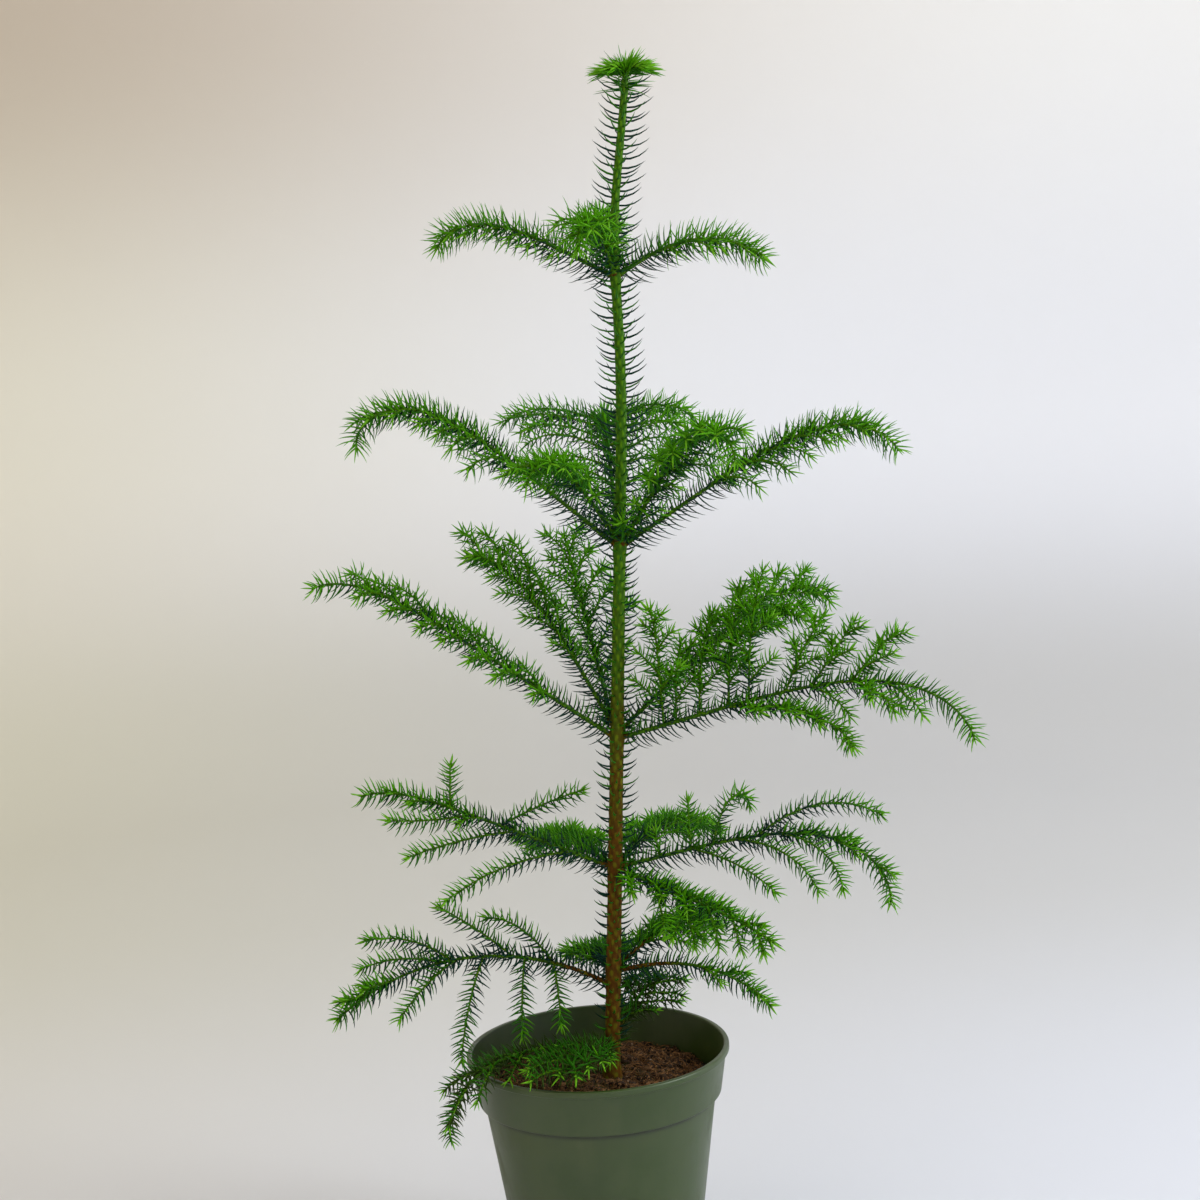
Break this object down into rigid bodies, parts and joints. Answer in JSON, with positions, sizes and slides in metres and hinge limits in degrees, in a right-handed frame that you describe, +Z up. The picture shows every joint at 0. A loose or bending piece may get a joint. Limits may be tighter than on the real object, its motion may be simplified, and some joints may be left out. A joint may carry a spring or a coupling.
{
  "type": "potted Norfolk Island pine",
  "caption": "Young Norfolk Island pine: a slim leaning trunk with tiers of needled boughs, rooted in a round tapered nursery pot full of soil.",
  "frame": {"origin": "centre of the pot's flat underside", "axes": "+Z up, -Y towards the viewer of the picture, +X to that viewer's right"},
  "size_m": [0.4053, 0.2569, 0.7563],
  "materials": {
    "pot": "olive green moulded plastic, satin, a little dusty",
    "soil": "rough fibrous reddish brown potting mix",
    "bark": "olive to brown young bark, rough",
    "needles": "satin green needles"
  },
  "bodies": {
    "root": {"pot": "pot", "soil": "soil", "trunk": "bark", "bough_b_left": "bark", "bough_b_right": "bark", "bough_b_front_right": "bark", "bough_b_front_left": "bark", "bough_b_back": "bark", "bough_c_left": "bark", "bough_c_back_left": "bark", "bough_c_back": "bark", "bough_c_right": "bark", "bough_c_back_right": "bark", "bough_d_left": "bark", "bough_d_right": "bark", "bough_d_front_right": "bark", "bough_d_back_left": "bark", "bough_d_back_right": "bark", "bough_e_left": "bark", "bough_e_right": "bark", "bough_e_back_left": "bark", "bough_e_back_right": "bark", "spray_top": "needles", "spray_a_left": "needles", "spray_a_right": "needles", "spray_a_front": "needles", "spray_a_back": "needles", "spray_b_left": "needles", "spray_b_right": "needles", "spray_b_front_right": "needles", "spray_b_front_left": "needles", "spray_b_back": "needles", "spray_c_left": "needles", "spray_c_back_left": "needles", "spray_c_back": "needles", "spray_c_right": "needles", "spray_c_back_right": "needles", "spray_d_left": "needles", "spray_d_right": "needles", "spray_d_front_right": "needles", "spray_d_back_left": "needles", "spray_d_back_right": "needles", "spray_e_left": "needles", "spray_e_right": "needles", "spray_e_back_left": "needles", "spray_e_back_right": "needles", "spray_f_left": "needles", "spray_f_front": "needles", "spray_f_back": "needles", "needles_leader": "needles", "needles_a_b": "needles", "needles_b_c": "needles", "needles_c_d": "needles", "needles_d_e": "needles", "needles_e_f": "needles"}
  },
  "joints": []
}
